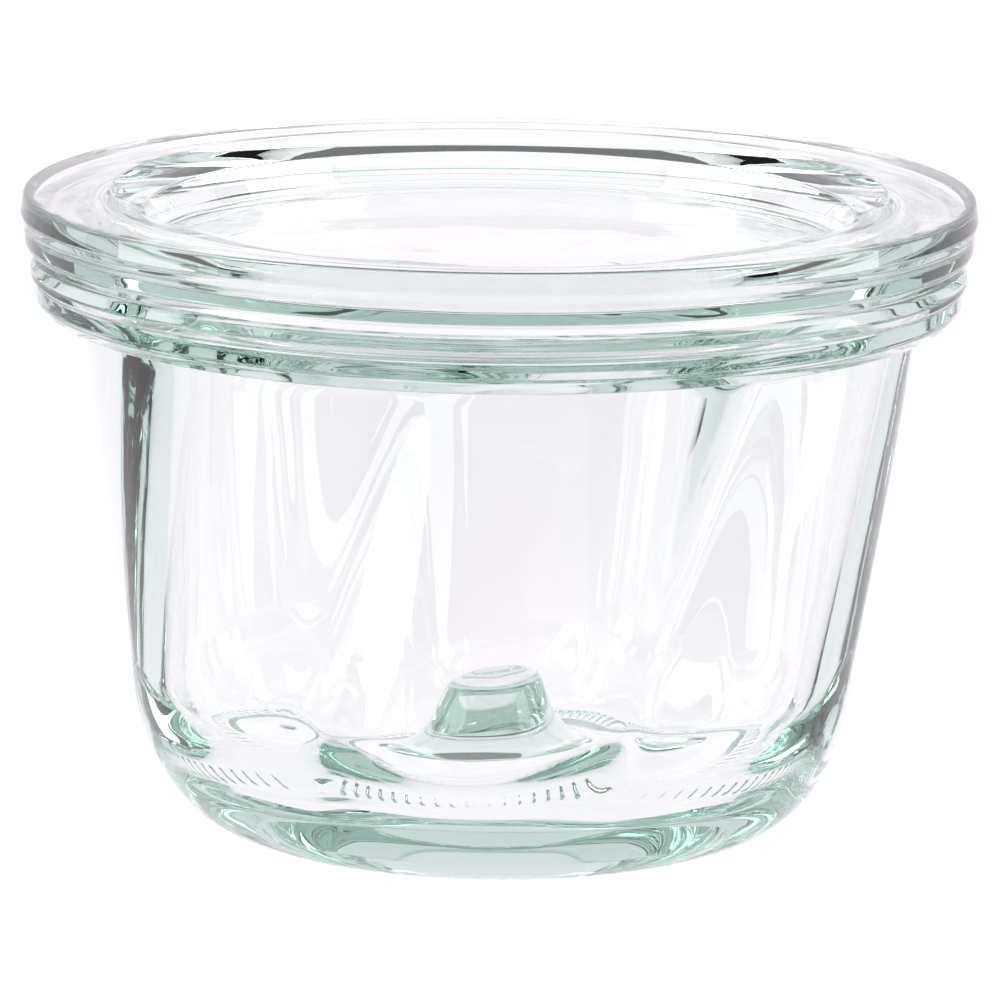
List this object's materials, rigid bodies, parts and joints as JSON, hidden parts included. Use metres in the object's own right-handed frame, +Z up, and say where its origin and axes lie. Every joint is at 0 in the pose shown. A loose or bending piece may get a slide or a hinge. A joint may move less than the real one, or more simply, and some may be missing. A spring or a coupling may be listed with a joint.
{
  "type": "canning jar",
  "caption": "Small wide round canning jar of clear pressed glass with a ribbed cake-mould inside, and its loose round glass lid resting on the rim.",
  "frame": {"origin": "middle of the base, on the surface that the jar stands on", "axes": "+Z up along the jar's axis, -Y towards the camera of the picture, +X to the right"},
  "size_m": [0.111, 0.111, 0.0738],
  "materials": {
    "jar_glass": "clear polished pressed glass, faintly green",
    "lid_glass": "clear polished pressed glass, faintly green"
  },
  "bodies": {
    "root": {"jar": "jar_glass", "lid": "lid_glass"}
  },
  "joints": []
}
